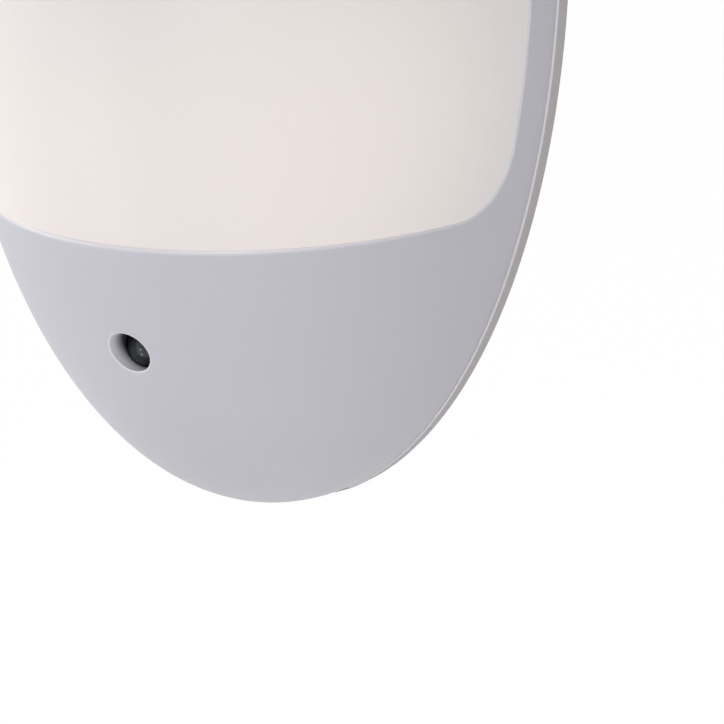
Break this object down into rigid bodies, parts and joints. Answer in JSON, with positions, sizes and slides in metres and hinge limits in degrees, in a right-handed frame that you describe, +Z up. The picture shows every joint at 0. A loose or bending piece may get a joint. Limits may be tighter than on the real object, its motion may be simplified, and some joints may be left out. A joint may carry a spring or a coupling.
{
  "type": "plug in night light",
  "caption": "Oval domed plug in night light: opal lens flush in a grey housing, dusk sensor in the chin, flat back with two plug blades.",
  "frame": {"origin": "on the flat back face, midway between the two plug blades, where the light meets the wall outlet", "axes": "+Z up along the oval's long axis, the blades point along +Y into the outlet, the domed front faces -Y, +X to the right seen from the front"},
  "size_m": [0.0604, 0.0584, 0.1204],
  "materials": {
    "housing_plastic": "fine satin, silver grey with a touch of lilac",
    "opal_plastic": "opal, satin",
    "cover_plastic": "satin grey",
    "holder_plastic": "moulded, off-white",
    "blade_metal": "nickel plated",
    "board_paper": "bare paper laminate",
    "dark_epoxy": "glossy",
    "lamp_epoxy": "clear, warm",
    "white_plastic": "moulded, white",
    "capacitor_case": "moulded box",
    "capacitor_sleeve": "shrink sleeve",
    "absorber_coating": "dipped epoxy",
    "fusible_coating": "flameproof coating",
    "resistor_coating": "lacquer",
    "black_epoxy": "moulded epoxy",
    "diode_glass": "glass over copper-coloured slugs",
    "dark_insulation": "PVC",
    "white_insulation": "PVC",
    "screw_steel": "zinc plated"
  },
  "bodies": {
    "root": {"front_housing": "housing_plastic", "lens": "opal_plastic", "back_cover": "cover_plastic", "blade_holder": "holder_plastic", "live_blade": "blade_metal", "neutral_blade": "blade_metal", "circuit_board": "board_paper", "light_sensor": "dark_epoxy", "lamp_1": "lamp_epoxy", "lamp_2": "lamp_epoxy", "lamp_3": "lamp_epoxy", "reflector": "white_plastic", "dropper_capacitor": "capacitor_case", "smoothing_capacitor": "capacitor_sleeve", "surge_absorber": "absorber_coating", "fusible_resistor": "fusible_coating", "bleed_resistor": "resistor_coating", "rectifier_diode_1": "black_epoxy", "rectifier_diode_2": "black_epoxy", "rectifier_diode_3": "black_epoxy", "rectifier_diode_4": "black_epoxy", "zener_diode": "diode_glass", "transistor": "black_epoxy", "bias_resistor_1": "resistor_coating", "bias_resistor_2": "resistor_coating", "bias_resistor_3": "resistor_coating", "live_wire": "dark_insulation", "neutral_wire": "white_insulation", "board_screws": "screw_steel", "reflector_screws": "screw_steel"}
  },
  "joints": []
}
